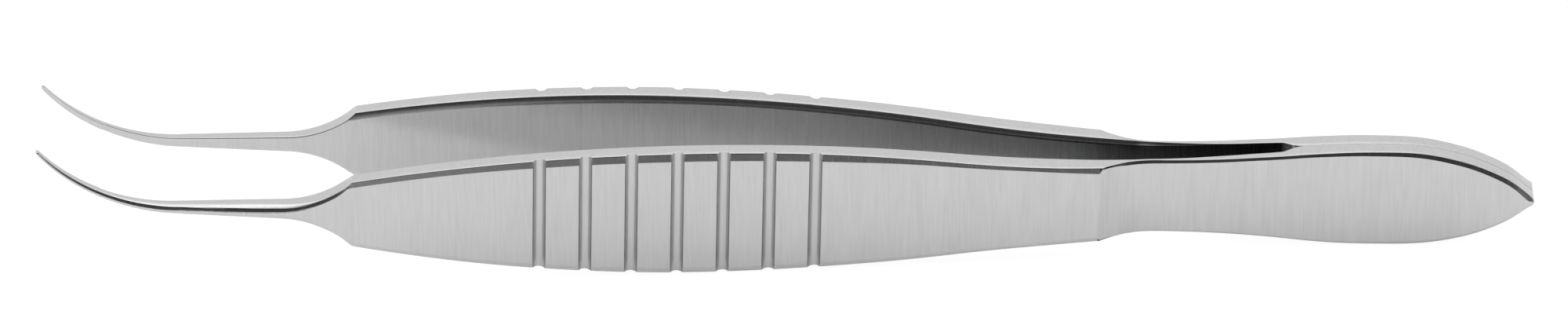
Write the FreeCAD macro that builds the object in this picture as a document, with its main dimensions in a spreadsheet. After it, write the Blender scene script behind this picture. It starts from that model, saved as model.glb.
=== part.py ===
import FreeCAD, Part
import Sketcher
import math
import os
from collections import namedtuple
from types import SimpleNamespace

# Curved tying forceps for eye surgery, in millimetres.
# Each half is one steel forging: a leaf-shaped tail, a thin spring, a step up to a thick fluted handle, a
# shoulder, a slender shank and a tip that curves up. The two halves are welded face to face along the tail.
# A forging is drawn lying along +X with its tail end at the origin, its width along Z and the plane between
# the halves at Y = 0. The finished forceps stands on its lower edges with its tips towards -X.

SIZES = {
    # Outline of the leaf tail, seen on its face
    "tail_crown_at": 12.06,
    "tail_half_width": 4.04,
    "tail_crown_radius": 40.0,
    "tail_nose_radius": 14.6,
    "tail_end_radius": 0.45,
    # Outline of the waist and the handle
    "crown_to_waist": 15.0,
    "waist_half_width": 3.1,
    "waist_to_handle_crown": 33.02,
    "handle_half_width": 5.15,
    "handle_rear_radius": 147.0,
    "handle_front_radius": 127.0,
    "handle_crown_to_shoulder": 24.5,
    # Outline of the neck, the shank and the curved tip
    "neck_radius": 7.2,
    "shank_half_height": 0.6,
    "shoulder_to_bend": 12.7,
    "shank_end_half_height": 0.36,
    "tip_bend_radius": 12.5,
    "tip_bend_angle": 51.0,
    "tip_half_height": 0.12,
    # Plan of one half: its inner side, as distances from the plane between the halves
    "weld_length": 16.85,
    "slot_taper_length": 1.18,
    "slot_taper_gap": 0.35,
    "pad_step_length": 0.26,
    "pad_gap": 0.54,
    "pad_to_step": 13.15,
    "step_gap": 1.21,
    "handle_inner_bow_radius": 1320.0,
    "shoulder_gap": 3.72,
    "platform_length": 5.4,
    "platform_gap": 3.93,
    "platform_rise": 0.06,
    "tip_gap": 3.92,
    # Plan of one half: its thickness from the inner side out
    "tail_end_thickness": 1.14,
    "spring_outer_gap": 1.3,
    "step_radius": 7.8,
    "handle_rear_thickness": 1.37,
    "handle_outer_bow_radius": 1060.0,
    "shoulder_thickness": 1.22,
    "shank_thickness": 0.95,
    "shank_end_thickness": 0.8,
    "tip_thickness": 0.3,
    # Bevels ground along the edges
    "handle_bevel_depth": 0.17,
    "handle_bevel_width": 0.44,
    "tail_bevel_depth": 0.12,
    "tail_bevel_width": 0.2,
    "inner_bevel_depth": 0.15,
    "inner_bevel_width": 0.38,
    # Rounding of the outer side: its radius where the shank starts, and its share of the half height at the tip
    "shank_edge_radius": 0.1,
    "tip_round_share": 0.9,
    # Cross flutes on the handle
    "flute_count": 7,
    "flute_pitch": 3.27,
    "flute_radius": 0.465,
    "shoulder_to_first_flute": 13.28,
    # Flexure, where the spring is thinnest
    "flexure_at": 26.0,
    "flexure_slit": 0.03,
    # Room for the cutting profiles around the forging
    "cut_margin": 3.0,
}

ChainEdge = namedtuple("ChainEdge", "geo first last")


def make_sheet(doc):
    """The spreadsheet of driving dimensions: name in column A, value in column B."""
    sheet = doc.addObject("Spreadsheet::Sheet", "sizes")
    for row, (name, value) in enumerate(SIZES.items(), start=1):
        sheet.set(f"A{row}", name)
        sheet.set(f"B{row}", str(value))
        sheet.setAlias(f"B{row}", name)
    doc.recompute()


def new_sketch(body, name, role):
    """An empty sketch on one of the body's own origin planes."""
    plane = next(part for part in body.Origin.OriginFeatures if part.Role == role)
    sketch = body.newObject("Sketcher::SketchObject", name)
    sketch.AttachmentSupport = [(plane, "")]
    sketch.MapMode = "FlatFace"
    return sketch


def add_line(sketch, start, end):
    """A straight edge of an outline."""
    return ChainEdge(sketch.addGeometry(Part.LineSegment(start, end), False), 1, 2)


def add_arc(sketch, centre, start, end, centre_on_left):
    """A round edge of an outline. Going from start to end, the centre is on the left or on the right."""
    circle = Part.Circle(centre, FreeCAD.Vector(0, 0, 1), (start - centre).Length)
    from_angle = math.atan2(start.y - centre.y, start.x - centre.x)
    to_angle = math.atan2(end.y - centre.y, end.x - centre.x)
    if centre_on_left:
        return ChainEdge(sketch.addGeometry(Part.ArcOfCircle(circle, from_angle, to_angle), False), 1, 2)
    return ChainEdge(sketch.addGeometry(Part.ArcOfCircle(circle, to_angle, from_angle), False), 2, 1)


def join(sketch, edge, following, kind="Coincident"):
    """Join the end of one edge to the start of the next, square or tangent."""
    sketch.addConstraint(Sketcher.Constraint(kind, edge.geo, edge.last, following.geo, following.first))


def place(sketch, name, geo, point, x=None, y=None):
    """Dimension a point from the sketch's origin. Point 3 of an arc is its centre."""
    where = sketch.getPoint(geo, point)
    for kind, value, formula in (("DistanceX", where.x, x), ("DistanceY", where.y, y)):
        if formula is not None:
            index = sketch.addConstraint(Sketcher.Constraint(kind, geo, point, value))
            sketch.renameConstraint(index, name + kind[-1])
            sketch.setExpression(f"Constraints.{name}{kind[-1]}", formula)


def radius(sketch, name, geo, formula):
    """Dimension the radius of an arc or a circle."""
    index = sketch.addConstraint(Sketcher.Constraint("Radius", geo, sketch.Geometry[geo].Radius))
    sketch.renameConstraint(index, name)
    sketch.setExpression(f"Constraints.{name}", formula)


def on_circle(centre, circle_radius, towards):
    """The point of a circle that lies towards another point."""
    return centre + (towards - centre).normalize() * circle_radius


def outline_points(size):
    """Centres and tangent points of the upper half of the outline, for the sketch to start from."""
    point = SimpleNamespace()
    vector = FreeCAD.Vector
    point.end = vector(0, 0, 0)
    crown = vector(size.tail_crown_at, size.tail_half_width, 0)
    waist = crown + vector(size.crown_to_waist, size.waist_half_width - size.tail_half_width, 0)
    handle = waist + vector(size.waist_to_handle_crown, size.handle_half_width - size.waist_half_width, 0)
    point.waist = waist
    point.handle = handle

    def hollow_radius(top, crown_radius):
        """Radius of the hollow that ends level at the waist and runs smoothly into a crown."""
        run = abs(top.x - waist.x)
        rise = top.y - waist.y
        return (run ** 2 + rise ** 2) / (2 * rise) - crown_radius

    point.tail_centre = crown - vector(0, size.tail_crown_radius, 0)
    point.rear_centre = handle - vector(0, size.handle_rear_radius, 0)
    point.front_centre = handle - vector(0, size.handle_front_radius, 0)
    point.tail_hollow_centre = waist + vector(0, hollow_radius(crown, size.tail_crown_radius), 0)
    point.handle_hollow_centre = waist + vector(0, hollow_radius(handle, size.handle_rear_radius), 0)
    point.tail_turn = on_circle(point.tail_centre, size.tail_crown_radius, point.tail_hollow_centre)
    point.handle_turn = on_circle(point.rear_centre, size.handle_rear_radius, point.handle_hollow_centre)

    # The nose arc passes through the tail end and touches the crown arc from inside.
    near = size.tail_nose_radius
    far = size.tail_crown_radius - size.tail_nose_radius
    apart = point.tail_centre.Length
    along = (near ** 2 - far ** 2 + apart ** 2) / (2 * apart)
    aside = math.sqrt(near ** 2 - along ** 2)
    forward = point.tail_centre / apart
    point.nose_centre = forward * along + vector(-forward.y, forward.x, 0) * aside
    point.nose_turn = on_circle(point.tail_centre, size.tail_crown_radius, point.nose_centre)

    run = size.handle_crown_to_shoulder
    drop = size.handle_front_radius - math.sqrt(size.handle_front_radius ** 2 - run ** 2)
    point.shoulder = handle + vector(run, -drop, 0)
    neck_height = size.shank_half_height + size.neck_radius
    neck_run = math.sqrt(size.neck_radius ** 2 - (neck_height - point.shoulder.y) ** 2)
    point.neck_centre = vector(point.shoulder.x + neck_run, neck_height, 0)
    point.neck_end = vector(point.neck_centre.x, size.shank_half_height, 0)
    return point


def mirrored(point):
    """The same point on the lower side of the outline."""
    return FreeCAD.Vector(point.x, -point.y, point.z)


def outline_sketch(body, size):
    """The outline of a forging up to its shank, seen on its face: tail, waist, handle and neck."""
    sketch = new_sketch(body, "outline", "XZ_Plane")
    at = outline_points(size)
    nose = add_arc(sketch, at.nose_centre, at.end, at.nose_turn, False)
    crown = add_arc(sketch, at.tail_centre, at.nose_turn, at.tail_turn, False)
    tail_hollow = add_arc(sketch, at.tail_hollow_centre, at.tail_turn, at.waist, True)
    handle_hollow = add_arc(sketch, at.handle_hollow_centre, at.waist, at.handle_turn, True)
    rear = add_arc(sketch, at.rear_centre, at.handle_turn, at.handle, False)
    front = add_arc(sketch, at.front_centre, at.handle, at.shoulder, False)
    neck = add_arc(sketch, at.neck_centre, at.shoulder, at.neck_end, True)
    join(sketch, nose, crown, "Tangent")
    join(sketch, crown, tail_hollow, "Tangent")
    join(sketch, tail_hollow, handle_hollow)
    join(sketch, handle_hollow, rear, "Tangent")
    join(sketch, rear, front)
    join(sketch, front, neck)

    waist_at = "sizes.tail_crown_at + sizes.crown_to_waist"
    handle_at = waist_at + " + sizes.waist_to_handle_crown"
    sketch.addConstraint(Sketcher.Constraint("Coincident", nose.geo, nose.first, -1, 1))
    radius(sketch, "tail_nose_radius", nose.geo, "sizes.tail_nose_radius")
    place(sketch, "tail_crown_centre", crown.geo, 3, "sizes.tail_crown_at",
          "sizes.tail_half_width - sizes.tail_crown_radius")
    radius(sketch, "tail_crown_radius", crown.geo, "sizes.tail_crown_radius")
    place(sketch, "waist", tail_hollow.geo, tail_hollow.last, waist_at, "sizes.waist_half_width")
    place(sketch, "tail_hollow_centre", tail_hollow.geo, 3, waist_at)
    place(sketch, "handle_hollow_centre", handle_hollow.geo, 3, waist_at)
    place(sketch, "handle_crown", rear.geo, rear.last, handle_at, "sizes.handle_half_width")
    place(sketch, "handle_rear_centre", rear.geo, 3, handle_at)
    radius(sketch, "handle_rear_radius", rear.geo, "sizes.handle_rear_radius")
    place(sketch, "handle_front_centre", front.geo, 3, handle_at)
    radius(sketch, "handle_front_radius", front.geo, "sizes.handle_front_radius")
    place(sketch, "shoulder", front.geo, front.last, SHOULDER_AT)
    radius(sketch, "neck_radius", neck.geo, "sizes.neck_radius")
    place(sketch, "neck_end", neck.geo, neck.last, None, "sizes.shank_half_height")
    sketch.addConstraint(Sketcher.Constraint("Vertical", neck.geo, 3, neck.geo, neck.last))

    # The lower side mirrors the upper one.
    before = add_line(sketch, at.neck_end, mirrored(at.neck_end))
    join(sketch, neck, before)
    upper = [neck, front, rear, handle_hollow, tail_hollow, crown, nose]
    lower_points = [at.neck_end, at.shoulder, at.handle, at.handle_turn, at.waist, at.tail_turn, at.nose_turn,
                    at.end]
    centres = [at.neck_centre, at.front_centre, at.rear_centre, at.handle_hollow_centre, at.tail_hollow_centre,
               at.tail_centre, at.nose_centre]
    hollow = (neck, handle_hollow, tail_hollow)
    for twin, centre, start, end in zip(upper, centres, lower_points, lower_points[1:]):
        edge = add_arc(sketch, mirrored(centre), mirrored(start), mirrored(end), twin in hollow)
        join(sketch, before, edge)
        sketch.addConstraint(Sketcher.Constraint("Equal", twin.geo, edge.geo))
        if twin is neck:
            symmetric(sketch, twin, edge, twin.last, edge.first)
        if twin is not nose:
            symmetric(sketch, twin, edge, twin.first, edge.last)
        before = edge
    sketch.addConstraint(Sketcher.Constraint("Coincident", before.geo, before.last, -1, 1))
    return sketch


def symmetric(sketch, twin, edge, twin_point, edge_point):
    """Mirror one end of an edge in the long axis of the outline."""
    sketch.addConstraint(Sketcher.Constraint("Symmetric", twin.geo, twin_point, edge.geo, edge_point, -1))


def add_chain(sketch, points, arcs, smooth=()):
    """A closed outline through named points. arcs gives the radius of each edge that is round, negative where
    the centre is on the right. smooth names the points that have no corner."""
    edges = {}
    names = list(points)
    for name, following in zip(names, names[1:] + names[:1]):
        start, end = points[name], points[following]
        if name in arcs:
            edges[name] = add_arc(sketch, chord_centre(start, end, arcs[name]), start, end, arcs[name] > 0)
        else:
            edges[name] = add_line(sketch, start, end)
    for name, following in zip(names, names[1:] + names[:1]):
        join(sketch, edges[name], edges[following], "Tangent" if following in smooth else "Coincident")
    return edges


def chord_centre(start, end, arc_radius):
    """Centre of the arc of that radius from start to end, on the left, or on the right if it is negative."""
    half = (end - start) / 2
    aside = FreeCAD.Vector(-half.y, half.x, 0).normalize()
    reach = math.sqrt(arc_radius ** 2 - half.Length ** 2)
    return start + half + aside * math.copysign(reach, arc_radius)


def stations(size):
    """Places along the forging that several sketches share."""
    shoulder = (size.tail_crown_at + size.crown_to_waist + size.waist_to_handle_crown
                + size.handle_crown_to_shoulder)
    turn = math.radians(size.tip_bend_angle)
    tip = shoulder + size.shoulder_to_bend + size.tip_bend_radius * math.sin(turn)
    slot = size.weld_length + size.slot_taper_length
    pad = slot + size.pad_step_length
    return SimpleNamespace(slot=slot, pad=pad, step=pad + size.pad_to_step, shoulder=shoulder,
                           neck_end=outline_points(size).neck_end.x, tip=tip)


SHOULDER_AT = ("sizes.tail_crown_at + sizes.crown_to_waist + sizes.waist_to_handle_crown"
               " + sizes.handle_crown_to_shoulder")
SHOULDER_HALF_WIDTH = ("(sizes.handle_half_width - sizes.handle_front_radius"
                       " + sqrt(sizes.handle_front_radius ^ 2 - sizes.handle_crown_to_shoulder ^ 2))")
NECK_END_AT = (SHOULDER_AT + " + sqrt(sizes.neck_radius ^ 2"
               " - (sizes.shank_half_height + sizes.neck_radius - " + SHOULDER_HALF_WIDTH + ") ^ 2)")
BEND_AT = SHOULDER_AT + " + sizes.shoulder_to_bend"
TIP_AT = BEND_AT + " + sizes.tip_bend_radius * sin(sizes.tip_bend_angle)"
SLOT_AT = "sizes.weld_length + sizes.slot_taper_length"
PAD_AT = SLOT_AT + " + sizes.pad_step_length"
STEP_AT = PAD_AT + " + sizes.pad_to_step"


def inner_sketch(body, size):
    """What is cut away between the halves, seen from above: the slot, the bowed handle and the tip's platform."""
    sketch = new_sketch(body, "inner_side", "XY_Plane")
    at = stations(size)
    vector = FreeCAD.Vector
    platform = at.tip - size.platform_length
    clear = at.tip + size.cut_margin
    points = {
        "weld": vector(size.weld_length, 0, 0),
        "slot": vector(at.slot, size.slot_taper_gap, 0),
        "pad": vector(at.pad, size.pad_gap, 0),
        "step": vector(at.step, size.step_gap, 0),
        "shoulder": vector(at.shoulder, size.shoulder_gap, 0),
        "platform": vector(platform, size.platform_gap, 0),
        "platform_face": vector(platform, size.platform_gap - size.platform_rise, 0),
        "tip": vector(at.tip, size.tip_gap, 0),
        "clear": vector(clear, size.tip_gap, 0),
        "clear_middle": vector(clear, 0, 0),
    }
    bow = (points["shoulder"] - points["step"]).Length / 2 / size.handle_inner_bow_radius
    spring = points["step"] - points["pad"]
    rise = math.asin(bow) + math.atan2(size.shoulder_gap - size.step_gap, at.shoulder - at.step)
    spring_turn = rise - math.atan2(spring.y, spring.x)
    spring_radius = spring.Length / 2 / math.sin(spring_turn)
    arcs = {"pad": spring_radius, "step": -size.handle_inner_bow_radius}
    edges = add_chain(sketch, points, arcs, ("step",))
    radius(sketch, "handle_inner_bow_radius", edges["step"].geo, "sizes.handle_inner_bow_radius")
    clear_at = TIP_AT + " + sizes.cut_margin"
    formulas = {
        "weld": ("sizes.weld_length", "0"),
        "slot": (SLOT_AT, "sizes.slot_taper_gap"),
        "pad": (PAD_AT, "sizes.pad_gap"),
        "step": (STEP_AT, "sizes.step_gap"),
        "shoulder": (SHOULDER_AT, "sizes.shoulder_gap"),
        "platform": (TIP_AT + " - sizes.platform_length", "sizes.platform_gap"),
        "platform_face": (TIP_AT + " - sizes.platform_length", "sizes.platform_gap - sizes.platform_rise"),
        "tip": (TIP_AT, "sizes.tip_gap"),
        "clear": (clear_at, "sizes.tip_gap"),
        "clear_middle": (clear_at, "0"),
    }
    for name, (x, y) in formulas.items():
        place(sketch, name, edges[name].geo, edges[name].first, x, y)
    return sketch


def outer_sketch(body, size):
    """What is cut away outside a half, seen from above: flat tail and spring, step, bowed handle, thin shank."""
    sketch = new_sketch(body, "outer_side", "XY_Plane")
    at = stations(size)
    vector = FreeCAD.Vector
    handle_rear = size.step_gap + size.handle_rear_thickness
    shoulder = size.shoulder_gap + size.shoulder_thickness
    shank = size.shoulder_gap + size.shank_thickness
    rise = handle_rear - size.spring_outer_gap
    run = math.sqrt(2 * size.step_radius * rise - rise ** 2)
    clear = at.neck_end + size.cut_margin
    beyond = shoulder + 2 * size.cut_margin
    points = {
        "behind": vector(-size.cut_margin, size.tail_end_thickness, 0),
        "tail_end": vector(0, size.tail_end_thickness, 0),
        "foot": vector(at.step - run, size.spring_outer_gap, 0),
        "step": vector(at.step, handle_rear, 0),
        "shoulder": vector(at.shoulder, shoulder, 0),
        "neck_end": vector(at.neck_end, shank, 0),
        "clear": vector(clear, shank, 0),
        "clear_beyond": vector(clear, beyond, 0),
        "behind_beyond": vector(-size.cut_margin, beyond, 0),
    }
    arcs = {"foot": size.step_radius, "step": -size.handle_outer_bow_radius}
    edges = add_chain(sketch, points, arcs, ("foot",))
    radius(sketch, "step_radius", edges["foot"].geo, "sizes.step_radius")
    radius(sketch, "handle_outer_bow_radius", edges["step"].geo, "sizes.handle_outer_bow_radius")
    shoulder_out = "sizes.shoulder_gap + sizes.shoulder_thickness"
    shank_out = "sizes.shoulder_gap + sizes.shank_thickness"
    formulas = {
        "behind": ("-sizes.cut_margin", "sizes.tail_end_thickness"),
        "tail_end": ("0", "sizes.tail_end_thickness"),
        "foot": (None, "sizes.spring_outer_gap"),
        "step": (STEP_AT, "sizes.step_gap + sizes.handle_rear_thickness"),
        "shoulder": (SHOULDER_AT, shoulder_out),
        "neck_end": (NECK_END_AT, shank_out),
        "clear": (NECK_END_AT + " + sizes.cut_margin", shank_out),
        "clear_beyond": (NECK_END_AT + " + sizes.cut_margin", shoulder_out + " + 2 * sizes.cut_margin"),
        "behind_beyond": ("-sizes.cut_margin", shoulder_out + " + 2 * sizes.cut_margin"),
    }
    for name, (x, y) in formulas.items():
        place(sketch, name, edges[name].geo, edges[name].first, x, y)
    return sketch, edges["step"]


def cut_through(body, name, sketch):
    """A pocket right through the width of the forging, both ways from its middle."""
    pocket = body.newObject("PartDesign::Pocket", name)
    pocket.Profile = sketch
    pocket.Type = "ThroughAll"
    pocket.SideType = "Symmetric"
    return pocket


def shank_section(body, name, size, share):
    """Section of the shank square to its middle line: flat inside, round outside. share is how far along the
    bend it stands, or None where the neck ends."""
    sketch = new_sketch(body, name, "YZ_Plane")
    if share is None:
        turn = 0.0
        middle = FreeCAD.Vector(0, 0, stations(size).neck_end)
        half_height = size.shank_half_height
        outside = size.shoulder_gap + size.shank_thickness
        corner = size.shank_edge_radius
        along, up, turn_formula = NECK_END_AT, "0", "0"
        half_height_formula = "sizes.shank_half_height"
        outside_formula = "(sizes.shoulder_gap + sizes.shank_thickness)"
        corner_formula = "sizes.shank_edge_radius"
    else:
        turn = size.tip_bend_angle * share
        bend = stations(size).shoulder + size.shoulder_to_bend
        middle = FreeCAD.Vector(0, size.tip_bend_radius * (1 - math.cos(math.radians(turn))),
                                bend + size.tip_bend_radius * math.sin(math.radians(turn)))
        half_height = size.shank_end_half_height * (1 - share) + size.tip_half_height * share
        outside = (size.shoulder_gap + size.shank_end_thickness) * (1 - share)
        outside += (size.tip_gap + size.tip_thickness) * share
        corner = half_height * size.tip_round_share
        turn_formula = f"sizes.tip_bend_angle * {share}"
        along = f"{BEND_AT} + sizes.tip_bend_radius * sin({turn_formula})"
        up = f"sizes.tip_bend_radius * (1 - cos({turn_formula}))"
        half_height_formula = f"(sizes.shank_end_half_height * {1 - share} + sizes.tip_half_height * {share})"
        outside_formula = (f"((sizes.shoulder_gap + sizes.shank_end_thickness) * {1 - share}"
                           f" + (sizes.tip_gap + sizes.tip_thickness) * {share})")
        corner_formula = f"({half_height_formula} * sizes.tip_round_share)"
    sketch.AttachmentOffset = FreeCAD.Placement(middle, FreeCAD.Rotation(FreeCAD.Vector(1, 0, 0), -turn))
    sketch.setExpression("AttachmentOffset.Base.y", up)
    sketch.setExpression("AttachmentOffset.Base.z", along)
    sketch.setExpression("AttachmentOffset.Rotation.Angle", f"-({turn_formula})")

    inside = size.shoulder_gap / 2
    vector = FreeCAD.Vector
    points = {
        "inner_low": vector(inside, -half_height, 0),
        "low": vector(outside - corner, -half_height, 0),
        "outer_low": vector(outside, corner - half_height, 0),
        "outer_high": vector(outside, half_height - corner, 0),
        "high": vector(outside - corner, half_height, 0),
        "inner_high": vector(inside, half_height, 0),
    }
    edges = add_chain(sketch, points, {"low": corner, "outer_high": corner})
    radius(sketch, "corner_low", edges["low"].geo, corner_formula)
    radius(sketch, "corner_high", edges["outer_high"].geo, corner_formula)
    inside_formula = "sizes.shoulder_gap / 2"
    formulas = {
        "inner_low": (inside_formula, f"-{half_height_formula}"),
        "low": (f"{outside_formula} - {corner_formula}", f"-{half_height_formula}"),
        "outer_low": (outside_formula, f"{corner_formula} - {half_height_formula}"),
        "outer_high": (outside_formula, f"{half_height_formula} - {corner_formula}"),
        "high": (f"{outside_formula} - {corner_formula}", half_height_formula),
        "inner_high": (inside_formula, half_height_formula),
    }
    for point_name, (x, y) in formulas.items():
        place(sketch, point_name, edges[point_name].geo, edges[point_name].first, x, y)
    return sketch


def add_loft(body, name, sections, straight):
    """A loft through sections, straight between them or smooth."""
    loft = body.newObject("PartDesign::AdditiveLoft", name)
    loft.Profile = sections[0]
    loft.Sections = sections[1:]
    loft.Ruled = straight
    return loft


def flute_sketch(body, size, outer, bow):
    """The foremost cross flute's round profile, centred on the handle's outer side, and the row it starts."""
    sketch = new_sketch(body, "flute_profile", "XY_Plane")
    sketch.addExternal(outer.Name, f"Edge{bow.geo + 1}")
    body.Document.recompute()
    row_end = stations(size).shoulder - size.shoulder_to_first_flute
    row_length = size.flute_pitch * (size.flute_count - 1)
    level = size.shoulder_gap + size.shoulder_thickness
    vector = FreeCAD.Vector
    first = sketch.addGeometry(Part.Circle(vector(row_end, level, 0), vector(0, 0, 1), size.flute_radius), False)
    row = sketch.addGeometry(Part.LineSegment(vector(row_end, level, 0), vector(row_end - row_length, level, 0)),
                             True)
    sketch.addConstraint(Sketcher.Constraint("Coincident", first, 3, row, 1))
    sketch.addConstraint(Sketcher.Constraint("PointOnObject", row, 1, -3))
    sketch.addConstraint(Sketcher.Constraint("PointOnObject", row, 2, -3))
    radius(sketch, "flute_radius", first, "sizes.flute_radius")
    place(sketch, "first_flute", row, 1, SHOULDER_AT + " - sizes.shoulder_to_first_flute")
    index = sketch.addConstraint(Sketcher.Constraint("Distance", row, row_length))
    sketch.renameConstraint(index, "row_length")
    sketch.setExpression("Constraints.row_length", "sizes.flute_pitch * (sizes.flute_count - 1)")
    return sketch


def add_flutes(body, size, outer, bow):
    """A row of half-round cross flutes for grip on the front part of the handle."""
    sketch = flute_sketch(body, size, outer, bow)
    flute = cut_through(body, "flute", sketch)
    body.Document.recompute()
    flutes = body.newObject("PartDesign::LinearPattern", "flutes")
    flutes.Originals = [flute]
    flutes.Direction = (sketch, ["Axis0"])
    flutes.Mode = "Extent"
    flutes.setExpression("Length", "sizes.flute_pitch * (sizes.flute_count - 1)")
    flutes.setExpression("Occurrences", "sizes.flute_count")
    body.Tip = flutes
    body.Document.recompute()


def normal_at(face, point):
    """Outward normal of a face near a point."""
    u, v = face.Surface.parameter(point)
    return face.normalAt(u, v)


def long_edges(shape, side, x_from, x_to):
    """Names of edges along the outline, on the inner or the outer side, between two stations. Only edges whose
    first face is the outline's are named, so that both distances of a bevel lie alike on all of them. The rest
    of each smooth chain follows by itself."""
    names = []
    for index, edge in enumerate(shape.Edges, start=1):
        middle = edge.valueAt((edge.FirstParameter + edge.LastParameter) / 2)
        if not x_from < middle.x < x_to:
            continue
        outline, plan = [normal_at(face, middle) for face in shape.ancestorsOfType(edge, Part.Face)]
        if abs(outline.y) < 1e-6 and abs(plan.z) < 1e-6 and (plan.y > 1e-3 if side == "outer" else plan.y < -1e-3):
            names.append(f"Edge{index}")
    return names


def bevel(body, name, side, x_from, x_to, depth, width):
    """Bevel the long edges between two stations: depth is across the thickness, width is on the face."""
    base = body.Tip
    chamfer = body.newObject("PartDesign::Chamfer", name)
    chamfer.Base = (base, long_edges(base.Shape, side, x_from, x_to))
    chamfer.ChamferType = "Two distances"
    chamfer.setExpression("Size", "sizes." + depth)
    chamfer.setExpression("Size2", "sizes." + width)
    body.Document.recompute()


def make_forging(doc, size):
    """One half of the forceps in one piece, lying along +X with its inner side towards Y = 0."""
    body = doc.addObject("PartDesign::Body", "forging")
    doc.recompute()
    at = stations(size)
    blank = body.newObject("PartDesign::Pad", "blank")
    blank.Profile = outline_sketch(body, size)
    blank.Reversed = True
    blank.setExpression("Length", "sizes.shoulder_gap + sizes.shoulder_thickness + sizes.cut_margin")
    doc.recompute()
    outer, bow = outer_sketch(body, size)
    cut_through(body, "outer_cut", outer)
    doc.recompute()
    neck_section = shank_section(body, "neck_section", size, None)
    tip_sections = [shank_section(body, f"tip_section_{number}", size, (number - 1) / 4)
                    for number in range(1, 6)]
    doc.recompute()
    add_loft(body, "shank", [neck_section, tip_sections[0]], True)
    doc.recompute()
    add_loft(body, "tip", tip_sections, False)
    doc.recompute()
    inner_cut = cut_through(body, "inner_cut", inner_sketch(body, size))
    doc.recompute()

    nose = body.newObject("PartDesign::Fillet", "tail_end")
    nose.Base = (inner_cut, [f"Edge{index}" for index, edge in enumerate(inner_cut.Shape.Edges, start=1)
                             if all(abs(end.X) + abs(end.Z) < 1e-4 for end in edge.Vertexes)])
    nose.setExpression("Radius", "sizes.tail_end_radius")
    doc.recompute()
    bevel(body, "handle_bevel", "outer", at.step, at.shoulder, "handle_bevel_depth", "handle_bevel_width")
    bevel(body, "tail_bevel", "outer", -1, at.step - 0.01, "tail_bevel_depth", "tail_bevel_width")
    bevel(body, "inner_bevel", "inner", at.pad, at.shoulder, "inner_bevel_depth", "inner_bevel_width")
    add_flutes(body, size, outer, bow)
    return body


def make_block(doc, name, start, length):
    """A block that spans the forging's section between two stations."""
    block = doc.addObject("Part::Box", name)
    block.setExpression("Length", length)
    block.setExpression("Width", "sizes.handle_half_width * 4")
    block.setExpression("Height", "sizes.handle_half_width * 4")
    block.setExpression("Placement.Base.x", start)
    block.setExpression("Placement.Base.y", "-sizes.handle_half_width * 2")
    block.setExpression("Placement.Base.z", "-sizes.handle_half_width * 2")
    return block


def lay_down(node):
    """Place a piece so that the forceps lies on its lower edges, tips towards -X, with the origin under the
    middle of its length. The handle is wider than the tail, so the forging's long axis is a little tilted."""
    apart = "(sizes.crown_to_waist + sizes.waist_to_handle_crown)"
    tail_rise = "(sizes.tail_crown_radius - sizes.tail_half_width)"
    handle_rise = "(sizes.handle_rear_radius - sizes.handle_half_width)"
    climb = f"({handle_rise} - {tail_rise})"
    tilt = (f"(atan2({apart}; {climb}) - acos((sizes.handle_rear_radius - sizes.tail_crown_radius)"
            f" / sqrt({apart} ^ 2 + {climb} ^ 2)))")
    node.Placement = FreeCAD.Placement(FreeCAD.Vector(), FreeCAD.Rotation(FreeCAD.Vector(0, 0, 1), 180))
    node.setExpression("Placement.Rotation.Axis.x", f"sin({tilt} / 2)")
    node.setExpression("Placement.Rotation.Axis.z", f"cos({tilt} / 2)")
    node.setExpression("Placement.Base.x", f"({TIP_AT} + sizes.tip_half_height) / 2")
    node.setExpression("Placement.Base.z", f"sizes.tail_crown_radius - sizes.tail_crown_at * sin({tilt})"
                                           f" - {tail_rise} * cos({tilt})")


def check(doc, nodes):
    """Stop if any feature failed or any piece isn't one sound solid."""
    for item in doc.Objects:
        if "Invalid" in item.State or "Error" in item.State:
            raise RuntimeError(f"{item.Name} failed: {item.State}")
    for node in nodes:
        if node.Shape.isNull() or not node.Shape.isValid() or len(node.Shape.Solids) != 1:
            raise RuntimeError(f"{node.Name} is not one sound solid")


def main():
    doc = FreeCAD.newDocument("tying_forceps")
    make_sheet(doc)
    size = SimpleNamespace(**SIZES)
    forging = make_forging(doc, size)
    tail_block = make_block(doc, "tail_block", "-sizes.cut_margin",
                            "sizes.cut_margin + sizes.flexure_at - sizes.flexure_slit / 2")
    arm_block = make_block(doc, "arm_block", "sizes.flexure_at + sizes.flexure_slit / 2",
                           f"{TIP_AT} + sizes.cut_margin - sizes.flexure_at")
    nodes = []
    for piece, block in (("tail", tail_block), ("arm", arm_block)):
        near = doc.addObject("Part::Common", "near_" + piece)
        near.Base = forging
        near.Tool = block
        lay_down(near)
        far = doc.addObject("Part::Mirroring", "far_" + piece)
        far.Source = near
        far.Base = FreeCAD.Vector(0, 0, 0)
        far.Normal = FreeCAD.Vector(0, 1, 0)
        nodes += [near, far]
    for node in nodes:
        node.Label = node.Name
    doc.recompute()
    check(doc, nodes)
    os.makedirs("parts", exist_ok=True)
    for node in nodes:
        node.Shape.exportStep(f"parts/{node.Label}.step")


main()
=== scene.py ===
import math

import bpy
from mathutils import Matrix, Vector

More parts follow.
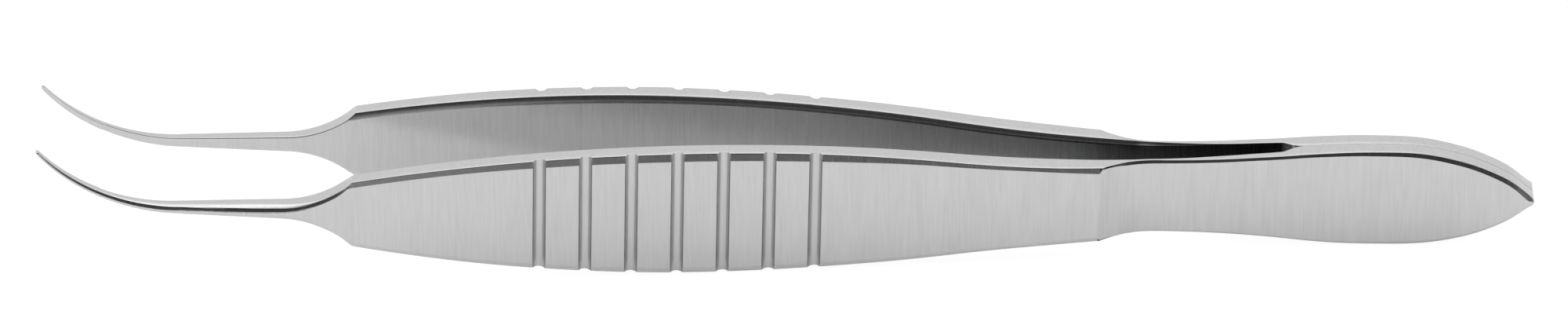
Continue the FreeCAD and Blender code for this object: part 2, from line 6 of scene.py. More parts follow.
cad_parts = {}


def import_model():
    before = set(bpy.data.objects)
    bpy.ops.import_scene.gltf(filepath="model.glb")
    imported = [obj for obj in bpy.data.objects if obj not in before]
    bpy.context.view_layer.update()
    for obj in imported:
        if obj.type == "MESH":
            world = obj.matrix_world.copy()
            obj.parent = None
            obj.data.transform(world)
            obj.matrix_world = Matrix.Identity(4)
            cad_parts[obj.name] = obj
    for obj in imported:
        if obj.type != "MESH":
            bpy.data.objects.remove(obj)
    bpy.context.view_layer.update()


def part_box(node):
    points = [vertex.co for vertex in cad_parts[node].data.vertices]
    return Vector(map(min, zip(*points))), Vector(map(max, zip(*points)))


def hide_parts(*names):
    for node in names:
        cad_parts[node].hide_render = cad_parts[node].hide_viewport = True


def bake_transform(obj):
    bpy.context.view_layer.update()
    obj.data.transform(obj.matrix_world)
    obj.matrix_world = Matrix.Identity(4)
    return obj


# Curved tying forceps on a white table, seen from the front and above.
# Each half is modelled as the one forging that it is, from its tail end to its tip, in millimetres: a grid is
# wrapped round the half's section at many stations along it. The far half is the near one mirrored.
# s is the distance along a half from its tail end, y the distance from the plane between the halves.

MM = 0.001

# Outline of a half, seen on its face
TAIL_CROWN_AT = 12.06
TAIL_HALF_WIDTH = 4.04
TAIL_CROWN_RADIUS = 40.0
TAIL_NOSE_RADIUS = 14.6
TAIL_END_RADIUS = 0.45
WAIST_AT = TAIL_CROWN_AT + 15.0
WAIST_HALF_WIDTH = 3.1
HANDLE_CROWN_AT = WAIST_AT + 33.02
HANDLE_HALF_WIDTH = 5.15
HANDLE_REAR_RADIUS = 147.0
HANDLE_FRONT_RADIUS = 127.0
SHOULDER_AT = HANDLE_CROWN_AT + 24.5
NECK_RADIUS = 7.2
SHANK_HALF_HEIGHT = 0.6
BEND_AT = SHOULDER_AT + 12.7
BEND_HALF_HEIGHT = 0.36
TIP_BEND_RADIUS = 12.5
TIP_BEND_ANGLE = math.radians(51.0)
TIP_HALF_HEIGHT = 0.12
TIP_AT = BEND_AT + TIP_BEND_RADIUS * TIP_BEND_ANGLE

# Plan of a half
WELD_END = 16.85
SLOT_END = WELD_END + 1.18
PAD_AT = SLOT_END + 0.26
STEP_AT = PAD_AT + 13.15
PLATFORM_AT = TIP_AT - 5.6
SEAM_GAP = 0.005

# Cross flutes
FLUTE_COUNT = 7
FLUTE_PITCH = 3.27
FLUTE_RADIUS = 0.465
FIRST_FLUTE_AT = SHOULDER_AT - 13.28

# Camera, and the size of the photograph that it matches
PICTURE_WIDTH = 2000
PIXELS_PER_MM = 17.85
CAMERA_ELEVATION = math.radians(35.2)
CAMERA_DISTANCE = 0.76
CAMERA_ROLL = math.radians(-0.38)
CAMERA_TARGET = (-0.296, 0, 6.2)
SENSOR_WIDTH = 36.0

# Marks that the mesh carries for its steel: painted shade in the gap and the step, painted shade on the walls
# of the flutes, worn strip
SHADE_AND_WEAR_MARKS = ("shade_in_gap_and_step", "flute_wall_shade", "worn_strip")
GAP_AND_STEP_SHADE_STRENGTH = 0.6
FLUTE_SHADE_STRENGTH = 0.34
HALF_WORN = 0.4

# Steps in which the sections and the stations follow the shape
CORNER_STEPS = 8
ROUND_STEPS = 4
BEND_STEPS = 44

# Polish on the sharp edges
POLISH_WIDTH = 0.012
POLISH_FROM_ANGLE = math.radians(8)
SMOOTH_UP_TO_ANGLE = math.radians(24)


def smooth(keys):
    """A curve through (s, value) keys without overshoot between them. Two close keys make a sharp change."""
    xs = [key[0] for key in keys]
    ys = [key[1] for key in keys]
    slopes = [(ys[i + 1] - ys[i]) / (xs[i + 1] - xs[i]) for i in range(len(xs) - 1)]
    tangents = [slopes[0]]
    for before, after in zip(slopes, slopes[1:]):
        tangents.append(0.0 if before * after <= 0 else 2 * before * after / (before + after))
    tangents.append(slopes[-1])

    def value(s):
        if s <= xs[0]:
            return ys[0]
        if s >= xs[-1]:
            return ys[-1]
        i = max(index for index in range(len(xs) - 1) if xs[index] <= s)
        width = xs[i + 1] - xs[i]
        t = (s - xs[i]) / width
        return ((1 + 2 * t) * (1 - t) ** 2 * ys[i] + t * (1 - t) ** 2 * width * tangents[i]
                + t * t * (3 - 2 * t) * ys[i + 1] + t * t * (t - 1) * width * tangents[i + 1])

    return value


def crown(s, top_at, top, radius):
    """Height of an arc that is level at its top."""
    return top - radius + math.sqrt(radius ** 2 - (s - top_at) ** 2)


def hollow(s, top_at, top, crown_radius):
    """Height of the hollow that is level at the waist and runs smoothly into a crown."""
    run = abs(top_at - WAIST_AT)
    rise = top - WAIST_HALF_WIDTH
    radius = (run ** 2 + rise ** 2) / (2 * rise) - crown_radius
    turn_at = WAIST_AT + (top_at - WAIST_AT) * radius / (radius + crown_radius)
    if abs(s - WAIST_AT) > abs(turn_at - WAIST_AT):
        return None
    return WAIST_HALF_WIDTH + radius - math.sqrt(radius ** 2 - (s - WAIST_AT) ** 2)


def nose_circle():
    """Centre of the nose arc, which passes through the corner at the tail end and runs into the crown arc."""
    crown_centre = Vector((TAIL_CROWN_AT, TAIL_HALF_WIDTH - TAIL_CROWN_RADIUS))
    rest = TAIL_CROWN_RADIUS - TAIL_NOSE_RADIUS
    apart = crown_centre.length
    along = (TAIL_NOSE_RADIUS ** 2 - rest ** 2 + apart ** 2) / (2 * apart)
    aside = math.sqrt(TAIL_NOSE_RADIUS ** 2 - along ** 2)
    forward = crown_centre / apart
    centre = forward * along + Vector((-forward.y, forward.x)) * aside
    turn_at = crown_centre.x + (centre.x - crown_centre.x) * TAIL_CROWN_RADIUS / rest
    return centre, turn_at


NOSE_CENTRE, NOSE_TURN_AT = nose_circle()
NECK_CENTRE_HEIGHT = SHANK_HALF_HEIGHT + NECK_RADIUS
SHOULDER_HALF_WIDTH = crown(SHOULDER_AT, HANDLE_CROWN_AT, HANDLE_HALF_WIDTH, HANDLE_FRONT_RADIUS)
NECK_END = SHOULDER_AT + math.sqrt(NECK_RADIUS ** 2 - (NECK_CENTRE_HEIGHT - SHOULDER_HALF_WIDTH) ** 2)
# The corner at the tail end is as steep as the nose arc there, and rounded.
NOSE_ANGLE = math.atan2(NOSE_CENTRE.x, -NOSE_CENTRE.y)
END_CENTRE = TAIL_END_RADIUS / math.sin(NOSE_ANGLE)
END_AT = END_CENTRE - TAIL_END_RADIUS
END_TURN_AT = END_CENTRE - TAIL_END_RADIUS * math.sin(NOSE_ANGLE)


def half_width(s):
    """Half the width of the forging, from its middle line to its edge."""
    if s < END_TURN_AT:
        return math.sqrt(max(TAIL_END_RADIUS ** 2 - (END_CENTRE - s) ** 2, 0.0))
    if s < NOSE_TURN_AT:
        return NOSE_CENTRE.y + math.sqrt(TAIL_NOSE_RADIUS ** 2 - (s - NOSE_CENTRE.x) ** 2)
    if s < WAIST_AT:
        rising = hollow(s, TAIL_CROWN_AT, TAIL_HALF_WIDTH, TAIL_CROWN_RADIUS)
        return rising or crown(s, TAIL_CROWN_AT, TAIL_HALF_WIDTH, TAIL_CROWN_RADIUS)
    if s < HANDLE_CROWN_AT:
        rising = hollow(s, HANDLE_CROWN_AT, HANDLE_HALF_WIDTH, HANDLE_REAR_RADIUS)
        return rising or crown(s, HANDLE_CROWN_AT, HANDLE_HALF_WIDTH, HANDLE_REAR_RADIUS)
    if s < SHOULDER_AT:
        return crown(s, HANDLE_CROWN_AT, HANDLE_HALF_WIDTH, HANDLE_FRONT_RADIUS)
    if s < NECK_END:
        return NECK_CENTRE_HEIGHT - math.sqrt(NECK_RADIUS ** 2 - (NECK_END - s) ** 2)
    if s < BEND_AT:
        share = (s - NECK_END) / (BEND_AT - NECK_END)
        return SHANK_HALF_HEIGHT + (BEND_HALF_HEIGHT - SHANK_HALF_HEIGHT) * share
    share = (s - BEND_AT) / (TIP_AT - BEND_AT)
    return BEND_HALF_HEIGHT + (TIP_HALF_HEIGHT - BEND_HALF_HEIGHT) * share


# The tail's end was finished by hand: it is a little fuller than its arcs, and its middle lies lower
tail_fullness = smooth([(END_AT, 0.0), (0.66, 0.02), (2.06, 0.148), (3.46, 0.11), (4.86, 0.08), (6.26, 0.035),
                        (9.06, 0.02), (11.86, -0.055), (14.66, -0.065), (17.46, -0.035), (20.3, 0.0)])
tail_droop = smooth([(END_AT, -0.24), (0.66, -0.24), (2.06, -0.21), (3.46, -0.2), (4.86, -0.17),
                     (6.26, -0.14), (9.06, -0.07), (11.86, -0.055), (14.66, -0.065), (17.46, -0.035),
                     (20.3, 0.0)])

# Inner face: its distance from the middle plane
inner_face = smooth([(0, SEAM_GAP), (WELD_END, SEAM_GAP), (17.25, 0.07), (17.6, 0.18), (SLOT_END, 0.43),
                     (PAD_AT, 0.55), (21.3, 0.68), (23.5, 0.78), (25.8, 0.865), (26.9, 0.91), (29.1, 1.04),
                     (STEP_AT, 1.20), (34.2, 1.35), (37.0, 1.52), (41.5, 1.785), (49.3, 2.21), (56.6, 2.62),
                     (63.0, 2.94), (69.4, 3.22), (76.2, 3.47), (SHOULDER_AT, 3.68), (88.0, 3.75),
                     (93.5, 3.795), (BEND_AT, 3.84), (PLATFORM_AT, 3.93), (PLATFORM_AT + 0.1, 3.87),
                     (TIP_AT, 3.92)])
# Outer face: straight along the tail and the spring, then the concave step, the bowed handle and the shank
TAIL_END_FACE = 1.14
SPRING_FACE = 1.3
STEP_RADIUS = 7.8
STEP_FACE = 2.57
FOOT_AT = STEP_AT - math.sqrt(2 * STEP_RADIUS * (STEP_FACE - SPRING_FACE) - (STEP_FACE - SPRING_FACE) ** 2)
TAIL_END_ROUNDING = 0.3
handle_face = smooth([(STEP_AT, STEP_FACE), (34.2, 2.80), (37.0, 2.98), (41.5, 3.24), (45.4, 3.45),
                      (49.3, 3.66), (53.2, 3.88), (56.6, 4.08), (59.8, 4.26), (63.0, 4.43), (69.4, 4.65),
                      (76.2, 4.82), (82.9, 4.905), (SHOULDER_AT, 4.92), (87.9, 4.91), (90.7, 4.88),
                      (93.5, 4.80), (BEND_AT, 4.62), (102.0, 4.42), (TIP_AT, 4.23)])


def outer_face(s):
    """Distance of the outer face from the middle plane."""
    if s < TAIL_END_ROUNDING:
        rest = 1 - s / TAIL_END_ROUNDING
        return TAIL_END_FACE - TAIL_END_ROUNDING * (1 - math.sqrt(max(1 - rest ** 2, 0.0)))
    if s < FOOT_AT:
        return TAIL_END_FACE + (SPRING_FACE - TAIL_END_FACE) * s / FOOT_AT
    if s < STEP_AT:
        return SPRING_FACE + STEP_RADIUS - math.sqrt(STEP_RADIUS ** 2 - (s - FOOT_AT) ** 2)
    return handle_face(s)


# Bevels between the faces and the edge: how far each comes down on its face. The depth is a share of that.
inner_bevel = smooth([(PAD_AT, 0.02), (23.2, 0.03), (24.5, 0.12), (25.8, 0.18), (29.1, 0.29), (41.0, 0.33),
                      (56.6, 0.35), (66.0, 0.40), (82.0, 0.42), (SHOULDER_AT, 0.46)])
inner_bevel_slant = smooth([(STEP_AT, 0.48), (56.0, 0.5), (64.0, 0.48), (73.0, 0.42), (SHOULDER_AT, 0.38)])
spring_bevel = smooth([(0, 0.5), (0.8, 0.46), (1.6, 0.36), (3.4, 0.31), (8.8, 0.28), (18.3, 0.2), (25.8, 0.2),
                       (28.0, 0.22), (29.5, 0.21), (30.1, 0.15), (30.7, 0.13), (STEP_AT, 0.13)])
handle_bevel = smooth([(STEP_AT, 0.41), (34.2, 0.31), (37.0, 0.265), (41.4, 0.31), (45.4, 0.37), (49.3, 0.47),
                       (53.2, 0.53), (60.0, 0.535), (69.4, 0.50), (76.2, 0.405), (SHOULDER_AT, 0.37)])
HANDLE_BEVEL_SLANT = 0.39
spring_slant = smooth([(0.3, 0.36), (1.8, 0.55), (31.0, 0.55), (31.2, HANDLE_BEVEL_SLANT)])
# A second, narrow and flatter bevel, stoned where the first one meets the inner face
stoned_bevel = smooth([(24.0, 0.01), (29.1, 0.1), (STEP_AT, 0.14), (45.0, 0.17), (70.0, 0.17), (78.0, 0.08),
                       (SHOULDER_AT, 0.05), (SHOULDER_AT + 1.0, 0.01)])
STONED_SLANT = 0.17
# Neck, shank and tip: the outer corner is rounded above, with a ground strip and a narrow worn one below
corner_height = smooth([(SHOULDER_AT, 0.1), (85.6, 0.25), (86.75, 0.32), (88.4, 0.45), (90.1, 0.52),
                        (93.5, 0.5)])
corner_depth = smooth([(SHOULDER_AT, 0.06), (85.6, 0.16), (86.75, 0.22), (88.4, 0.36), (90.1, 0.46),
                       (93.5, 0.5), (BEND_AT, 0.52), (101.0, 0.45), (105.9, 0.32), (TIP_AT, 0.26)])
strip_height = smooth([(SHOULDER_AT, 0.02), (85.6, 0.03), (86.75, 0.04), (88.4, 0.07), (90.1, 0.1),
                       (93.5, 0.14), (BEND_AT, 0.21), (101.0, 0.23), (105.9, 0.16), (TIP_AT, 0.1)])
worn_height = smooth([(85.6, 0.01), (86.75, 0.03), (88.4, 0.12), (90.1, 0.13), (95.0, 0.12), (98.0, 0.03),
                      (TIP_AT, 0.01)])
STRIP_SLANT = 0.5
WORN_SLANT = 0.25
CORNER_HEIGHT_SHARE = 0.95
corner_depth_share = smooth([(SHOULDER_AT, 0.7), (93.5, 0.6), (BEND_AT, 0.66), (101.0, 0.8), (TIP_AT, 0.85)])
shank_inner_bevel = smooth([(SHOULDER_AT, 0.07), (93.5, 0.05), (BEND_AT, 0.04), (TIP_AT, 0.02)])
TIP_ROUNDING = 0.16
# Painted shade on the inner faces, strongest where the gap between them is narrowest
gap_painted_shade = smooth([(PAD_AT, 0.0), (PAD_AT + 0.1, 0.72), (29.0, 0.72), (34.0, 0.36), (42.6, 0.2),
                       (50.0, 0.05), (56.0, 0.0)])
# Painted shade on the small bevel in the concave step
step_painted_shade = smooth([(30.3, 0.0), (30.9, 1.3), (STEP_AT - 0.02, 1.3), (STEP_AT, 0.0)])


def outer_bevel(s):
    """Height of the outer bevel: the handle's bevel runs straight out where the concave step meets it."""
    if s >= STEP_AT:
        return handle_bevel(s)
    cut_away = (STEP_FACE - outer_face(s)) / HANDLE_BEVEL_SLANT
    return max(spring_bevel(s), handle_bevel(STEP_AT) - cut_away)


def run_out(bevel, s, least):
    """Where the neck curves away from the shoulder, a handle bevel runs straight on until the edge meets it."""
    slope = (HANDLE_CROWN_AT - SHOULDER_AT) / HANDLE_FRONT_RADIUS
    floor = SHOULDER_HALF_WIDTH - bevel(SHOULDER_AT) + slope * (s - SHOULDER_AT)
    return max(half_width(s) - max(floor, SHANK_HALF_HEIGHT), least)


def ground_corner(height, depth):
    """A flat bevel from the edge (0, 0) to the face: its points, in as many steps as a rounded corner."""
    return [(depth * step / CORNER_STEPS, height * step / CORNER_STEPS) for step in range(CORNER_STEPS + 1)]


def rounded_corner(s, height, depth):
    """From the edge (0, 0) round to the ground strip, down it and the worn strip to the face, as (in, down)."""
    strip = min(strip_height(s), 0.7 * height)
    worn = min(worn_height(s), 0.2 * height)
    below = strip * STRIP_SLANT + worn * WORN_SLANT
    round_in = max(depth - below, 0.0)
    round_down = height - strip - worn
    hinge = max(round_in - round_down * STRIP_SLANT, 0.0)
    points = []
    for step in range(ROUND_STEPS + 1):
        t = step / ROUND_STEPS
        points.append((2 * t * (1 - t) * hinge + t * t * round_in, t * t * round_down))
    strip_in = round_in + strip * STRIP_SLANT
    strip_down = round_down + strip
    points.append(((round_in + strip_in) / 2, (round_down + strip_down) / 2))
    points.append((strip_in, strip_down))
    points.append(((strip_in + depth) / 2, (strip_down + height) / 2))
    points.append((depth, height))
    return points


def flute_depth(s):
    """How deep the nearest cross flute is at this station."""
    number = round((FIRST_FLUTE_AT - s) / FLUTE_PITCH)
    centre = FIRST_FLUTE_AT - min(max(number, 0), FLUTE_COUNT - 1) * FLUTE_PITCH
    return math.sqrt(max(FLUTE_RADIUS ** 2 - (s - centre) ** 2, 0.0))


def section(s):
    """The half's section at a station, from the inner face up and over to the outer and back underneath.

    Each point is (y, z) with its marks for the steel: painted shade in the gap or the step, painted shade on a
    flute's wall, worn strip.
    """
    half = half_width(s) + tail_fullness(s)
    inner = inner_face(s)
    face = outer_face(s)
    if s <= SHOULDER_AT:
        inner_height = min(inner_bevel(s), 0.3 * half)
        height = min(outer_bevel(s), 0.8 * half)
        depth = height * (HANDLE_BEVEL_SLANT if s > STEP_AT else spring_slant(s))
        corner = ground_corner(height, depth)
    else:
        inner_height = min(run_out(inner_bevel, s, shank_inner_bevel(s)), 0.3 * half)
        ground = run_out(outer_bevel, s, 0.02)
        height = min(max(ground, corner_height(s)), CORNER_HEIGHT_SHARE * half)
        depth = min(max(ground * HANDLE_BEVEL_SLANT, corner_depth(s)), corner_depth_share(s) * (face - inner))
        ease = min((s - SHOULDER_AT) / 1.5, 1.0)
        corner = [(flat[0] * (1 - ease) + round[0] * ease, flat[1] * (1 - ease) + round[1] * ease)
                  for flat, round in zip(ground_corner(height, depth), rounded_corner(s, height, depth))]
        rest = max(s - (TIP_AT - TIP_ROUNDING), 0.0) / TIP_ROUNDING
        shrink = math.sqrt(max(1 - rest ** 2, 0.04))
        half *= shrink
        slimmed = 0.6 + 0.4 * shrink
        face = inner + (face - inner) * slimmed
        depth *= slimmed
        corner = [(along * slimmed, down * shrink) for along, down in corner]
    outer = face - depth
    stoned = min(stoned_bevel(s), 0.2 * half)
    stoned_edge = inner + min(stoned * STONED_SLANT, 0.05 * (outer - inner))
    edge = stoned_edge + min(inner_height * inner_bevel_slant(s), 0.4 * (outer - inner))
    top = [(inner, half - inner_height - stoned), (stoned_edge, half - inner_height), (edge, half)]
    top += [(edge + (outer - edge) * share, half) for share in (0.35, 0.7)]
    top += [(outer + along, half - down) for along, down in corner]
    flute = flute_depth(s)
    groove = face - flute
    wall = 1 - (flute / FLUTE_RADIUS) ** 2
    marked = []
    for index, (y, z) in enumerate(top):
        # Painted shade: on the inner face in the gap, and on the small bevel in the concave step
        nook_shade = gap_painted_shade(s) if index < 2 else 0.0
        if len(top) - len(corner) < index < len(top) - 1:
            nook_shade = step_painted_shade(s)
        # Painted shade on the walls of the cross flutes, darkest where the wall is steepest
        flute_shade = wall if flute > 0 and y > groove else 0.0
        worn = {len(top) - 3: HALF_WORN, len(top) - 2: 1.0}.get(index, 0.0) if s > SHOULDER_AT + 1 else 0.0
        marked.append((min(y, groove), z, nook_shade, flute_shade, worn))
    droop = tail_droop(s)
    below = [(y, droop - z, nook_shade, flute_shade, 0.0) for y, z, nook_shade, flute_shade, worn in reversed(marked)]
    return [(y, droop + z, nook_shade, flute_shade, worn) for y, z, nook_shade, flute_shade, worn in marked] + below


def stations():
    """Where the sections stand: close together where the shape changes quickly."""
    places = [END_AT + TAIL_END_RADIUS * (1 - math.cos(math.radians(angle))) for angle in range(0, 90, 9)]
    places += [0.55 + 0.25 * step for step in range(4)]
    places += [1.6 + 0.5 * step for step in range(166)]
    places += [WELD_END, SLOT_END, PAD_AT, PAD_AT + 0.1, STEP_AT, SHOULDER_AT - 0.1, SHOULDER_AT]
    for number in range(FLUTE_COUNT):
        centre = FIRST_FLUTE_AT - number * FLUTE_PITCH
        places = [place for place in places if abs(place - centre) > FLUTE_RADIUS + 0.04]
        places += [centre - FLUTE_RADIUS * math.cos(math.radians(angle)) for angle in range(0, 181, 12)]
        places += [centre - FLUTE_RADIUS - 0.01, centre + FLUTE_RADIUS + 0.01]
    places += [28.2 + 0.08 * step for step in range(34)]
    places += [STEP_AT - 0.5 + 0.04 * step for step in range(12)]
    places += [SHOULDER_AT + 0.02 + 0.16 * step for step in range(32)]
    places += [SHOULDER_AT + 5.2 + 0.3 * step for step in range(24)]
    places += [BEND_AT + (TIP_AT - BEND_AT) * step / BEND_STEPS for step in range(BEND_STEPS + 1)]
    places += [PLATFORM_AT, PLATFORM_AT + 0.1]
    places += [TIP_AT - TIP_ROUNDING * share for share in (1.0, 0.8, 0.6, 0.4, 0.25, 0.12, 0.05)]
    places.sort()
    return [place for place, before in zip(places, [-1.0] + places) if place - before > 0.004]


def on_middle_line(s):
    """Point of the middle line (along, up) and its direction there as an angle."""
    turn = max(s - BEND_AT, 0.0) / TIP_BEND_RADIUS
    along = min(s, BEND_AT) + TIP_BEND_RADIUS * math.sin(turn)
    return along, TIP_BEND_RADIUS * (1 - math.cos(turn)), turn


def lying_matrix():
    """From a half's own millimetres to the frame's metres: tips towards -X, resting on its lower edges."""
    run = HANDLE_CROWN_AT - TAIL_CROWN_AT
    rise = (HANDLE_REAR_RADIUS - HANDLE_HALF_WIDTH) - (TAIL_CROWN_RADIUS - TAIL_HALF_WIDTH)
    tilt = math.atan2(run, rise) - math.acos((HANDLE_REAR_RADIUS - TAIL_CROWN_RADIUS) / math.hypot(run, rise))
    tail_rise = TAIL_CROWN_RADIUS - TAIL_HALF_WIDTH
    lift = TAIL_CROWN_RADIUS - TAIL_CROWN_AT * math.sin(tilt) - tail_rise * math.cos(tilt)
    tail_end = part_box("near_tail")[1].x
    shift = Matrix.Translation((tail_end + END_AT * MM * math.cos(tilt), 0, lift * MM))
    return shift @ Matrix.Rotation(math.pi, 4, "Z") @ Matrix.Rotation(-tilt, 4, "Y") @ Matrix.Scale(MM, 4)


def deselect():
    """Nothing is selected, so that the next operator acts on its own piece alone."""
    bpy.ops.object.select_all(action="DESELECT")


def make_near_half(lie):
    """One forging: a grid wrapped round the section at every station, then closed, polished and shaded."""
    places = stations()
    rounds = [section(place) for place in places]
    points = len(rounds[0])
    deselect()
    bpy.ops.mesh.primitive_grid_add(x_subdivisions=points, y_subdivisions=len(places) - 1, size=1)
    half = bpy.context.object
    half.name = "near_half"
    row = points + 1
    layers = [half.data.attributes.new(name, "FLOAT", "POINT").name for name in SHADE_AND_WEAR_MARKS]
    for index, vertex in enumerate(half.data.vertices):
        station, point = divmod(index, row)
        y, z, *marks = rounds[station][point % points]
        along, up, turn = on_middle_line(places[station])
        vertex.co = lie @ Vector((along - z * math.sin(turn), y, up + z * math.cos(turn)))
        for layer, mark in zip(layers, marks):
            half.data.attributes[layer].data[index].value = mark
    bpy.ops.object.mode_set(mode="EDIT")
    bpy.ops.mesh.select_all(action="SELECT")
    bpy.ops.mesh.remove_doubles(threshold=0.0000005)
    bpy.ops.mesh.select_all(action="DESELECT")
    bpy.ops.mesh.select_non_manifold()
    bpy.ops.mesh.fill_holes(sides=0)
    bpy.ops.mesh.select_all(action="SELECT")
    bpy.ops.mesh.normals_make_consistent(inside=False)
    bpy.ops.object.mode_set(mode="OBJECT")
    soften(half)
    return half


def soften(piece):
    """Break the sharp edges a little, as polishing does, and shade the rest smooth."""
    bevel = piece.modifiers.new("polish", "BEVEL")
    bevel.width = POLISH_WIDTH * MM
    bevel.segments = 2
    bevel.limit_method = "ANGLE"
    bevel.angle_limit = POLISH_FROM_ANGLE
    bpy.context.view_layer.objects.active = piece
    piece.select_set(True)
    bpy.ops.object.modifier_apply(modifier=bevel.name)
    bpy.ops.object.shade_smooth_by_angle(angle=SMOOTH_UP_TO_ANGLE)


def make_far_half(near):
    """The other forging, mirrored in the plane between the halves."""
    deselect()
    near.select_set(True)
    bpy.context.view_layer.objects.active = near
    bpy.ops.object.duplicate()
    far = bpy.context.object
    far.name = "far_half"
    far.data.transform(Matrix.Scale(-1, 4, (0, 1, 0)))
    bpy.ops.object.mode_set(mode="EDIT")
    bpy.ops.mesh.select_all(action="SELECT")
    bpy.ops.mesh.flip_normals()
    bpy.ops.object.mode_set(mode="OBJECT")
    return far


def flatten_faces(piece):
    """Shade each ground face flat right up to its polished edge."""
    weighted = piece.modifiers.new("ground_faces", "WEIGHTED_NORMAL")
    weighted.mode = "FACE_AREA"
    weighted.weight = 60
    bpy.context.view_layer.objects.active = piece
    bpy.ops.object.modifier_apply(modifier=weighted.name)


def add_node(tree, kind, place, **inputs):
    """A shader node with some of its inputs set."""
    node = tree.nodes.new(kind)
    node.location = place
    for name, value in inputs.items():
        node.inputs[name.replace("_", " ")].default_value = value
    return node


def brushed_steel():
    """Satin surgical steel with fine brush lines across the length and faint uneven patches."""
    steel = bpy.data.materials.new("brushed_steel")
    steel.use_nodes = True
    tree = steel.node_tree
    shader = tree.nodes["Principled BSDF"]
    shader.inputs["Metallic"].default_value = 1.0
    shader.inputs["Anisotropic"].default_value = 0.6
    link = tree.links.new
    where = add_node(tree, "ShaderNodeTexCoord", (-1200, 0))

    lines_map = add_node(tree, "ShaderNodeMapping", (-1000, 0), Scale=(14000, 5000, 500))
    link(where.outputs["Object"], lines_map.inputs["Vector"])
    lines = add_node(tree, "ShaderNodeTexNoise", (-800, 0), Scale=1.0, Detail=3.0, Roughness=0.6)
    link(lines_map.outputs["Vector"], lines.inputs["Vector"])

    rough = add_node(tree, "ShaderNodeMapRange", (-500, -100),
                     From_Min=0.3, From_Max=0.7, To_Min=0.17, To_Max=0.27)
    link(lines.outputs["Fac"], rough.inputs["Value"])
    link(rough.outputs["Result"], shader.inputs["Roughness"])

    # Tone: separate brush strokes across the length, broad bands and soft patches
    tones = []
    for row, scale in enumerate(((5200, 5200, 330), (900, 900, 90), (300, 300, 240))):
        tone_map = add_node(tree, "ShaderNodeMapping", (-1000, 400 + 300 * row), Scale=scale)
        link(where.outputs["Object"], tone_map.inputs["Vector"])
        noise = add_node(tree, "ShaderNodeTexNoise", (-800, 400 + 300 * row),
                         Scale=1.0, Detail=3.0, Roughness=0.6)
        link(tone_map.outputs["Vector"], noise.inputs["Vector"])
        tones.append(noise.outputs["Fac"])
    soft = add_node(tree, "ShaderNodeMath", (-650, 900))
    link(tones[1], soft.inputs[0])
    link(tones[2], soft.inputs[1])
    mixed = add_node(tree, "ShaderNodeMath", (-600, 300))
    mixed.operation = "MULTIPLY_ADD"
    mixed.inputs[1].default_value = 0.4
    link(soft.outputs["Value"], mixed.inputs[0])
    link(tones[0], mixed.inputs[2])
    tone = add_node(tree, "ShaderNodeMapRange", (-450, 200),
                    From_Min=0.65, From_Max=1.15, To_Min=0.0, To_Max=1.0)
    link(mixed.outputs["Value"], tone.inputs["Value"])
    colour = add_node(tree, "ShaderNodeValToRGB", (-300, 250))
    colour.color_ramp.elements[0].color = (0.69, 0.69, 0.695, 1)
    colour.color_ramp.elements[1].color = (0.76, 0.76, 0.765, 1)
    link(tone.outputs["Result"], colour.inputs["Fac"])

    pits = add_node(tree, "ShaderNodeTexNoise", (-800, -600), Scale=22000.0, Detail=2.0)
    link(where.outputs["Object"], pits.inputs["Vector"])
    pitted = add_node(tree, "ShaderNodeMapRange", (-600, -600),
                      From_Min=0.45, From_Max=0.56, To_Min=0.0, To_Max=1.0)
    link(pits.outputs["Fac"], pitted.inputs["Value"])
    shade = colour.outputs["Color"]
    # The first two marks paint shade into the base colour, in the gap and the step and on the flute walls; the
    # third darkens the worn strip where it is pitted.
    for row, (name, strength) in enumerate(zip(SHADE_AND_WEAR_MARKS, (GAP_AND_STEP_SHADE_STRENGTH, FLUTE_SHADE_STRENGTH, None))):
        mark = tree.nodes.new("ShaderNodeAttribute")
        mark.location = (-600, 700 + 200 * row)
        mark.attribute_name = name
        amount = add_node(tree, "ShaderNodeMath", (-400, 700 + 200 * row))
        amount.operation = "MULTIPLY"
        link(mark.outputs["Fac"], amount.inputs[0])
        if strength is None:
            link(pitted.outputs["Result"], amount.inputs[1])
        else:
            amount.inputs[1].default_value = strength
        darker = add_node(tree, "ShaderNodeMix", (-200 + 200 * row, 500))
        darker.data_type = "RGBA"
        darker.inputs[7].default_value = (0.0, 0.0, 0.0, 1)
        link(amount.outputs["Value"], darker.inputs[0])
        link(shade, darker.inputs[6])
        shade = darker.outputs[2]
    link(shade, shader.inputs["Base Color"])

    grain = add_node(tree, "ShaderNodeBump", (-300, -350), Strength=0.12, Distance=0.000004)
    link(lines.outputs["Fac"], grain.inputs["Height"])
    link(grain.outputs["Normal"], shader.inputs["Normal"])
    along = add_node(tree, "ShaderNodeCombineXYZ", (-300, -600), X=1.0)
    link(along.outputs["Vector"], shader.inputs["Tangent"])
    return steel


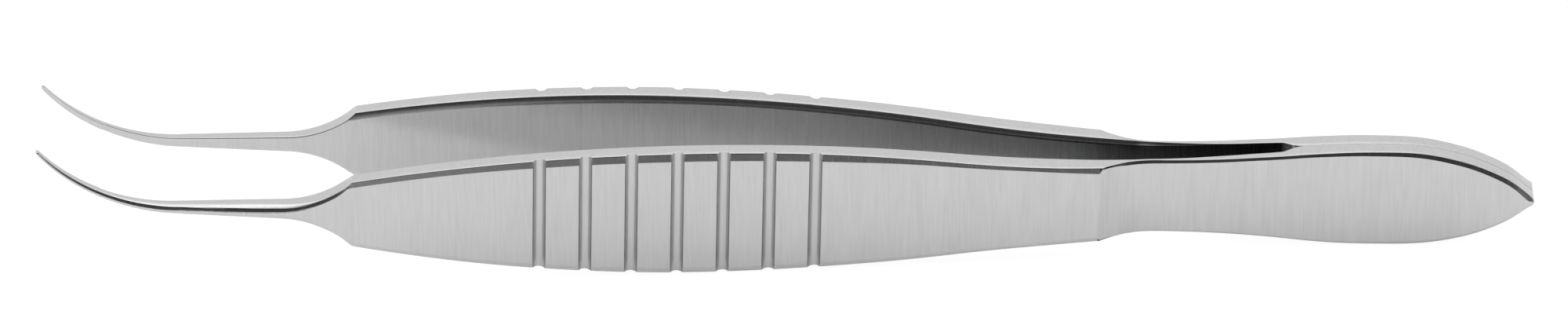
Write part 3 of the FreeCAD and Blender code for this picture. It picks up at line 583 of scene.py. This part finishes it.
def white_table():
    """The white surface under the forceps: white to the eye and in reflections, with a soft shadow."""
    deselect()
    bpy.ops.mesh.primitive_plane_add(size=3.0, location=(0, 0, -0.0002))
    table = bpy.context.object
    table.name = "table"
    white = bpy.data.materials.new("white_table")
    white.use_nodes = True
    tree = white.node_tree
    shader = tree.nodes["Principled BSDF"]
    shader.inputs["Base Color"].default_value = (0.93, 0.93, 0.93, 1)
    shader.inputs["Roughness"].default_value = 0.9
    shader.inputs["Specular IOR Level"].default_value = 0.0
    glow = add_node(tree, "ShaderNodeEmission", (0, 200), Color=(1, 1, 1, 1), Strength=1.16)
    path = add_node(tree, "ShaderNodeLightPath", (-400, 400))
    seen = add_node(tree, "ShaderNodeMath", (-200, 400))
    seen.operation = "MULTIPLY"
    seen.inputs[1].default_value = 0.8
    mirrored = add_node(tree, "ShaderNodeMath", (-200, 250))
    mirrored.operation = "MULTIPLY"
    mirrored.inputs[1].default_value = 0.12
    share = add_node(tree, "ShaderNodeMath", (0, 400))
    blend = add_node(tree, "ShaderNodeMixShader", (300, 300))
    tree.links.new(path.outputs["Is Camera Ray"], seen.inputs[0])
    tree.links.new(path.outputs["Is Glossy Ray"], mirrored.inputs[0])
    tree.links.new(seen.outputs["Value"], share.inputs[0])
    tree.links.new(mirrored.outputs["Value"], share.inputs[1])
    tree.links.new(share.outputs["Value"], blend.inputs["Fac"])
    tree.links.new(shader.outputs["BSDF"], blend.inputs[1])
    tree.links.new(glow.outputs["Emission"], blend.inputs[2])
    tree.links.new(blend.outputs["Shader"], tree.nodes["Material Output"].inputs["Surface"])
    table.data.materials.append(white)


def studio_world():
    """A pale studio: bright overhead and behind, darker towards the horizon in front."""
    world = bpy.data.worlds.new("studio")
    bpy.context.scene.world = world
    world.use_nodes = True
    tree = world.node_tree
    link = tree.links.new
    where = add_node(tree, "ShaderNodeTexCoord", (-900, 0))
    split = add_node(tree, "ShaderNodeSeparateXYZ", (-700, 0))
    link(where.outputs["Generated"], split.inputs["Vector"])
    low = add_node(tree, "ShaderNodeMapRange", (-500, -100),
                   From_Min=0.56, From_Max=0.74, To_Min=1.0, To_Max=0.0)
    link(split.outputs["Z"], low.inputs["Value"])
    left = add_node(tree, "ShaderNodeMapRange", (-700, -250),
                    From_Min=-0.1, From_Max=0.06, To_Min=0.3, To_Max=0.1)
    link(split.outputs["X"], left.inputs["Value"])
    haze = add_node(tree, "ShaderNodeMapRange", (-500, -250), From_Min=0.1, From_Max=0.3, To_Max=0.03)
    link(split.outputs["Z"], haze.inputs["Value"])
    link(left.outputs["Result"], haze.inputs["To Min"])
    front = add_node(tree, "ShaderNodeMapRange", (-500, 200),
                     From_Min=-0.15, From_Max=-0.5, To_Min=0.0, To_Max=1.0)
    link(split.outputs["Y"], front.inputs["Value"])
    dark = add_node(tree, "ShaderNodeMath", (-300, 100))
    dark.operation = "MULTIPLY"
    link(low.outputs["Result"], dark.inputs[0])
    link(front.outputs["Result"], dark.inputs[1])
    high = add_node(tree, "ShaderNodeMapRange", (-500, -400),
                    From_Min=0.62, From_Max=1.0, To_Min=0.77, To_Max=1.4)
    link(split.outputs["Z"], high.inputs["Value"])
    level = add_node(tree, "ShaderNodeMix", (-100, 0))
    level.data_type = "FLOAT"
    link(dark.outputs["Value"], level.inputs[0])
    link(high.outputs["Result"], level.inputs[2])
    link(haze.outputs["Result"], level.inputs[3])
    link(level.outputs[0], tree.nodes["Background"].inputs["Color"])
    tree.nodes["Background"].inputs["Strength"].default_value = 1.0


def add_camera():
    """The photograph's view: from the front, above, with a long lens."""
    data = bpy.data.cameras.new("camera")
    camera = bpy.data.objects.new("camera", data)
    bpy.context.scene.collection.objects.link(camera)
    bpy.context.scene.camera = camera
    data.sensor_width = SENSOR_WIDTH
    data.lens = data.sensor_width * PIXELS_PER_MM * CAMERA_DISTANCE / MM / PICTURE_WIDTH
    data.clip_start = 0.05
    data.clip_end = 10
    target = Vector(CAMERA_TARGET) * MM
    back = Vector((0, -math.cos(CAMERA_ELEVATION), math.sin(CAMERA_ELEVATION)))
    turn = back.to_track_quat("Z", "Y").to_matrix().to_4x4() @ Matrix.Rotation(CAMERA_ROLL, 4, "Z")
    camera.matrix_world = Matrix.Translation(target + back * CAMERA_DISTANCE) @ turn


def main():
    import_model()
    lie = lying_matrix()
    near = make_near_half(lie)
    far = make_far_half(near)
    for piece in (near, far):
        flatten_faces(piece)
    steel = brushed_steel()
    for side, piece in (("near", near), ("far", far)):
        piece.data.materials.clear()
        piece.data.materials.append(steel)
        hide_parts(side + "_tail", side + "_arm")
        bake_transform(piece)
    studio_world()
    white_table()
    add_camera()
    bpy.context.scene.view_settings.view_transform = "Standard"


main()
